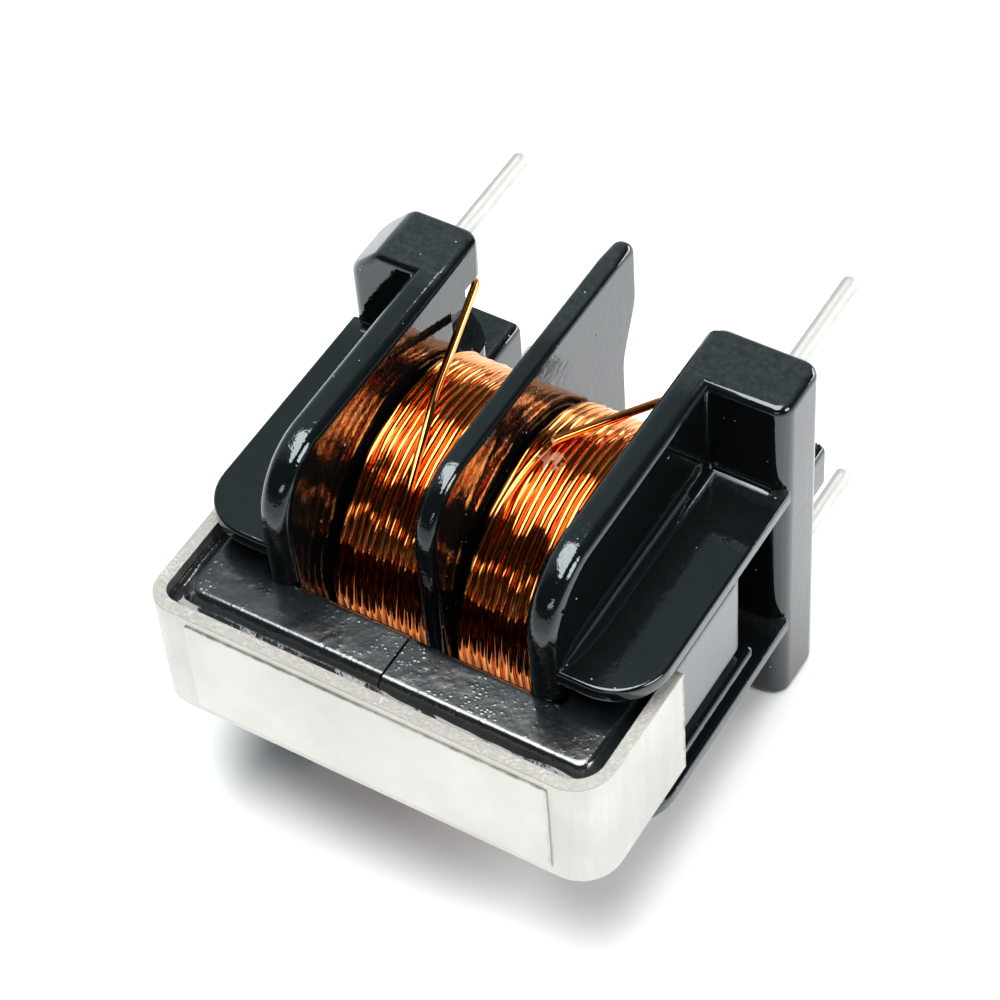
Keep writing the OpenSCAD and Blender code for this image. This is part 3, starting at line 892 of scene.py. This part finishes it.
# Glue: black and glossy, run between the band and the core's front leg before the band was
# pushed on. It stands as a hollow bead between the band's rim and the core's bevel.
BAND_IN_X = 8.08
BAND_IN_Y = -12.42
LEFT_BEND = 0.6
RIGHT_BEND = 1.02
BAND_THICK = 0.48
BAND_HALF = 2.525
ARM_END = -7.15
GLUE_END = -9.2
GLUE_SECTION = (
    (0.0, 2.06), (0.03, 2.05), (0.07, 2.0), (0.12, 1.95), (0.19, 1.915), (0.27, 1.905),
    (0.36, 1.92), (0.46, 1.97), (0.52, 1.98), (0.5, 1.7), (0.0, 1.5),
)
GLUE = ((0.004, 0.005, 0.0055, 1), (0.010, 0.012, 0.013, 1))


def band_path(inset, back):
    """The line round the inside of the band at some distance from it, from arm to arm."""
    x = BAND_IN_X - inset
    y = BAND_IN_Y + inset
    left = max(LEFT_BEND - inset, 0.2)
    right = max(RIGHT_BEND - inset, 0.2)
    return (
        [(-x, back + (y + left - back) * k / 12) for k in range(12)]
        + arc((-x + left, y + left), left, 180, 270, 10)
        + [(-x + left + (2 * x - left - right) * k / 60, y) for k in range(1, 60)]
        + arc((x - right, y + right), right, 270, 360, 10)
        + [(x, y + right + (back - y - right) * k / 12) for k in range(1, 13)]
    )


def glue_bead(level):
    """The bead along the upper or the lower rim of the core's front leg."""
    shape = bmesh.new()
    rows = []
    for inset, height in GLUE_SECTION:
        row = []
        for x, y in band_path(inset, GLUE_END - inset * 0.4):
            rise = 0.035 * noise.noise((x * 1.3, y * 1.3, level * 4.0 + inset * 2))
            rise += 0.13 * eased(x, -7.0, -7.6) * (inset > 0.03)
            row.append(shape.verts.new((x, y, MID + level * (height + rise * (height > 1.9)))))
        rows.append(row)
    count = len(rows[0])
    for k, row in enumerate(rows):
        above = rows[k - 1]
        for i in range(count - 1):
            shape.faces.new((row[i], row[i + 1], above[i + 1], above[i]))
    shape.faces.new([row[0] for row in rows])
    shape.faces.new([row[-1] for row in rows])
    bmesh.ops.recalc_face_normals(shape, faces=shape.faces)
    return shape


def black_glue():
    """Cured black glue: a wet gloss with a few bubbles and lumps."""
    finish, tree, shader, where = new_finish("glue")
    tree.links.new(blended(tree, cloudy(tree, where, 800, 3), *GLUE), shader.inputs["Base Color"])
    rough = between(tree, cloudy(tree, where, 1400, 3), 0.3, 0.7, 0.05, 0.14)
    tree.links.new(rough, shader.inputs["Roughness"])
    lumps = raised(tree, cloudy(tree, where, 1500, 3), 0.00006, 0.5)
    bubbles = raised(tree, cloudy(tree, where, 5200, 2), 0.00002, 0.5, lumps)
    tree.links.new(bubbles, shader.inputs["Normal"])
    shader.inputs["IOR"].default_value = 1.55
    return finish


beads = glue_bead(1)
below = bpy.data.meshes.new("below")
lower = glue_bead(-1)
lower.to_mesh(below)
lower.free()
beads.from_mesh(below)
bpy.data.meshes.remove(below)
glue = as_object("glue_beads", beads)
to_part_frame(glue)
glue.data.shade_smooth()
dress(glue, black_glue(), "glue", "core_adhesive")


# Band: tinned steel strip, bent to a U round the core's front leg and the ends of its yokes.
# Cut on a shear, so its rims are rough and show bare, brownish steel at the ends of the arms.
TIN = ((0.50, 0.495, 0.462, 1), (0.615, 0.61, 0.565, 1))
DULL_TIN = (0.44, 0.44, 0.423, 1)
SHEARED = ((0.44, 0.43, 0.40, 1), (0.53, 0.52, 0.485, 1))
RUST = (0.24, 0.175, 0.12, 1)


def band_outline():
    """The band seen from above."""
    line = []
    for out, way in ((BAND_THICK, 1), (0, -1)):
        x = BAND_IN_X + out
        y = BAND_IN_Y - out
        left = LEFT_BEND + out
        right = RIGHT_BEND + out
        side = (
            [(x, ARM_END)]
            + arc((x - right, y + right), right, 0, -90, 16)
            + arc((-x + left, y + left), left, 270, 180, 16)
            + [(-x, ARM_END)]
        )
        line += side[::way]
    return line


def sheared_tin():
    """Tinned strip: soft vertical streaks, tiny scratches, and brownish bare steel on cut ends."""
    finish, tree, shader, where = new_finish("band_steel")
    stretched = put(tree, "ShaderNodeMapping", {"Vector": where, "Scale": (1.0, 1.0, 0.12)})
    streaks = between(tree, cloudy(tree, stretched.outputs["Vector"], 2300, 5, 0.6), 0.3, 0.7)
    patches = between(tree, cloudy(tree, where, 380, 3), 0.32, 0.68)
    tin = blended(tree, sums(tree, "MULTIPLY", patches, 0.5), blended(tree, streaks, *TIN), DULL_TIN)
    facing = tree.nodes.new("ShaderNodeNewGeometry").outputs["Normal"]
    rim = between(tree, sums(tree, "ABSOLUTE", part_of(tree, facing, "Z")), 0.5, 0.85)
    pits = between(tree, cloudy(tree, where, 8800, 5, 0.7), 0.36, 0.6)
    tin = blended(tree, rim, tin, blended(tree, pits, *SHEARED))
    end = ARM_END + RAIL_FRONT
    cut = between(tree, part_of(tree, where, "Y"), (end - 0.22) * MM, (end - 0.02) * MM)
    rust = sums(tree, "MULTIPLY", cut, between(tree, cloudy(tree, where, 3200, 6, 0.7), 0.42, 0.62))
    tree.links.new(blended(tree, rust, tin, RUST), shader.inputs["Base Color"])
    rough = between(tree, streaks, 0, 1, 0.36, 0.46)
    rough = sums(tree, "ADD", rough, sums(tree, "MULTIPLY", rim, 0.26))
    rough = sums(tree, "ADD", rough, sums(tree, "MULTIPLY", rust, 0.2))
    tree.links.new(rough, shader.inputs["Roughness"])
    shader.inputs["Metallic"].default_value = 1.0
    sway = raised(tree, cloudy(tree, where, 160, 2), 0.00006, 0.4)
    grain = raised(tree, cloudy(tree, where, 4600, 5, 0.65), 0.000014, 0.5, sway)
    torn = raised(tree, sums(tree, "MULTIPLY", pits, rim), 0.00003, 0.6, grain)
    tree.links.new(torn, shader.inputs["Normal"])
    return finish


strip = soft_prism(band_outline(), "z", MID - BAND_HALF, MID + BAND_HALF, 0.035, 2)
band = as_object("steel_band", strip)
to_part_frame(band)
band = flat_shaded(band, 50)
dress(band, sheared_tin(), "band_steel", "clip_band")


# Label: a thin clear-coated film on the band's front face, pressed on by hand and left bare.
# Its upper and right edges are coloured a mottled dark brown, and its skin lies smoother than the tin.
LABEL_HALF = 6.85
LABEL_HALF_HEIGHT = 2.15
LABEL_CORNER = 0.12
LABEL_THICK = 0.06
FILM = ((0.55, 0.545, 0.507, 1), (0.635, 0.63, 0.587, 1))
EDGE_BROWN = (0.20, 0.17, 0.12, 1)


def label_film():
    """Pale film: even, silky and slightly warmer than the tin."""
    finish, tree, shader, where = new_finish("label_film")
    tone = between(tree, cloudy(tree, where, 240, 3), 0.3, 0.7)
    # The upper and right edges are coloured a mottled dark brown.
    edge_mottle = between(tree, cloudy(tree, where, 1800, 5, 0.65), 0.38, 0.62)
    edge = MID + LABEL_HALF_HEIGHT
    top = between(tree, part_of(tree, where, "Z"), (edge - 0.09) * MM, (edge - 0.02) * MM, 0, 0.75)
    end = LABEL_HALF
    side = between(tree, part_of(tree, where, "X"), (end - 0.16) * MM, (end - 0.02) * MM, 0, 0.45)
    browned_edges = sums(tree, "MULTIPLY", sums(tree, "MAXIMUM", top, side), edge_mottle)
    film = blended(tree, browned_edges, blended(tree, tone, *FILM), EDGE_BROWN)
    tree.links.new(film, shader.inputs["Base Color"])
    rough = between(tree, cloudy(tree, where, 2000, 4), 0.3, 0.7, 0.34, 0.42)
    tree.links.new(rough, shader.inputs["Roughness"])
    shader.inputs["Metallic"].default_value = 0.85
    ripples = raised(tree, cloudy(tree, where, 300, 2), 0.00004, 0.4)
    grain = raised(tree, cloudy(tree, where, 5200, 4), 0.000008, 0.4, ripples)
    tree.links.new(grain, shader.inputs["Normal"])
    return finish


film_outline = []
for sx, sz, start in ((1, 1, 0), (-1, 1, 90), (-1, -1, 180), (1, -1, 270)):
    spot = (sx * (LABEL_HALF - LABEL_CORNER), MID + sz * (LABEL_HALF_HEIGHT - LABEL_CORNER))
    film_outline += arc(spot, LABEL_CORNER, start, start + 90, 5)
front = BAND_IN_Y - BAND_THICK
label = as_object("bare_label", prism(film_outline, "y", front - LABEL_THICK, front + 0.02))
to_part_frame(label)
label = flat_shaded(label, 50)
dress(label, label_film(), "label_film", "band_label")


# Stage: a white table top under soft light, with painted shade that darkens it towards its front edge.
# A large lamp hangs overhead, smaller ones stand at the front, the right and the back.
# The camera stands where the photograph was taken from.
REACH = 1.2
TABLE_FRONT_SHADE_TO_WHITE = ((0.47, 0.473, 0.476, 1), (0.87, 0.875, 0.88, 1))
CAMERA_TURN = (34.687, 49.786, -5.051)
CAMERA_TARGET = (0.403, -4.725, 11.5)
CAMERA_DISTANCE = 104.57
SENSOR = 36
LENS_RATIO = 3.2033

floor_mesh = bpy.data.meshes.new("table_top")
corners = [(a * REACH, b * REACH, 0) for a, b in ((-1, -1), (1, -1), (1, 1), (-1, 1))]
floor_mesh.from_pydata(corners, [], [(0, 1, 2, 3)])
floor = in_scene("table_top", floor_mesh)
white, tree, shader, where = new_finish("table_white")
# Painted shade: the table's colour darkens towards its front edge.
near = between(tree, part_of(tree, where, "Y"), -0.042, -0.012)
tree.links.new(blended(tree, near, *TABLE_FRONT_SHADE_TO_WHITE), shader.inputs["Base Color"])
shader.inputs["Roughness"].default_value = 0.7
shader.inputs["Specular IOR Level"].default_value = 0.2
floor_mesh.materials.append(white)


def lamp(name, place, size, power):
    """A soft oval lamp that faces the part."""
    light = bpy.data.lights.new(name, "AREA")
    light.shape = "ELLIPSE"
    light.size, light.size_y = size
    light.energy = power
    thing = in_scene(name, light)
    thing.location = place
    aim = Vector((0, 0, 0.006)) - Vector(place)
    thing.rotation_euler = aim.to_track_quat("-Z", "Y").to_euler()


lamp("overhead", (-0.02, -0.014, 0.29), (0.34, 0.18), 1.5)
lamp("front_low", (0.13, -0.34, 0.15), (0.2, 0.05), 0.1)
lamp("right_side", (0.28, -0.01, 0.2), (0.16, 0.16), 0.68)
lamp("back_low", (0.14, 0.33, 0.1), (0.18, 0.12), 0.45)
lamp("back_fill", (0.24, 0.3, 0.06), (0.16, 0.08), 0.3)

world = bpy.data.worlds.new("room")
bpy.context.scene.world = world
world.use_nodes = True
tree = world.node_tree
sky = tree.nodes["Background"]
sky.inputs["Color"].default_value = (0.80, 0.96, 1.0, 1)
ray = tree.nodes.new("ShaderNodeTexCoord").outputs["Generated"]
across, back, above = (part_of(tree, ray, axis) for axis in "XYZ")
behind = between(tree, back, -0.3, 0.1)
before = sums(tree, "SUBTRACT", 1, behind)
wall = sums(tree, "MULTIPLY", behind, between(tree, above, 0.12, 0.34, 0.55, 0))
table_edge = sums(tree, "MULTIPLY", before, between(tree, above, 0.08, 0.13, 0.1, 0))
ceiling = between(tree, back, -0.5, -0.1)
ceiling = sums(tree, "MULTIPLY", ceiling, between(tree, across, -0.5, 0.12, 0.44, 0))
glow = sums(tree, "ADD", sums(tree, "ADD", wall, table_edge), ceiling)
tree.links.new(sums(tree, "ADD", glow, 0.03), sky.inputs["Strength"])
bpy.context.scene.view_settings.view_transform = "Standard"

azimuth, elevation, roll = (math.radians(a) for a in CAMERA_TURN)
flat = math.cos(elevation)
away = Vector((math.sin(azimuth) * flat, -math.cos(azimuth) * flat, math.sin(elevation)))
level_right = Vector((math.cos(azimuth), math.sin(azimuth), 0))
level_up = away.cross(level_right)
right = level_right * math.cos(roll) + level_up * math.sin(roll)
up = level_up * math.cos(roll) - level_right * math.sin(roll)
x, y, z = CAMERA_TARGET
target = Vector((x, RAIL_FRONT + y, z)) * MM
eye = bpy.data.cameras.new("camera")
eye.sensor_width = SENSOR
eye.lens = SENSOR * LENS_RATIO
eye.clip_start = 0.005
camera = in_scene("camera", eye)
turn = Matrix((right, up, away)).transposed().to_4x4()
camera.matrix_world = Matrix.Translation(target + away * CAMERA_DISTANCE * MM) @ turn
bpy.context.scene.camera = camera
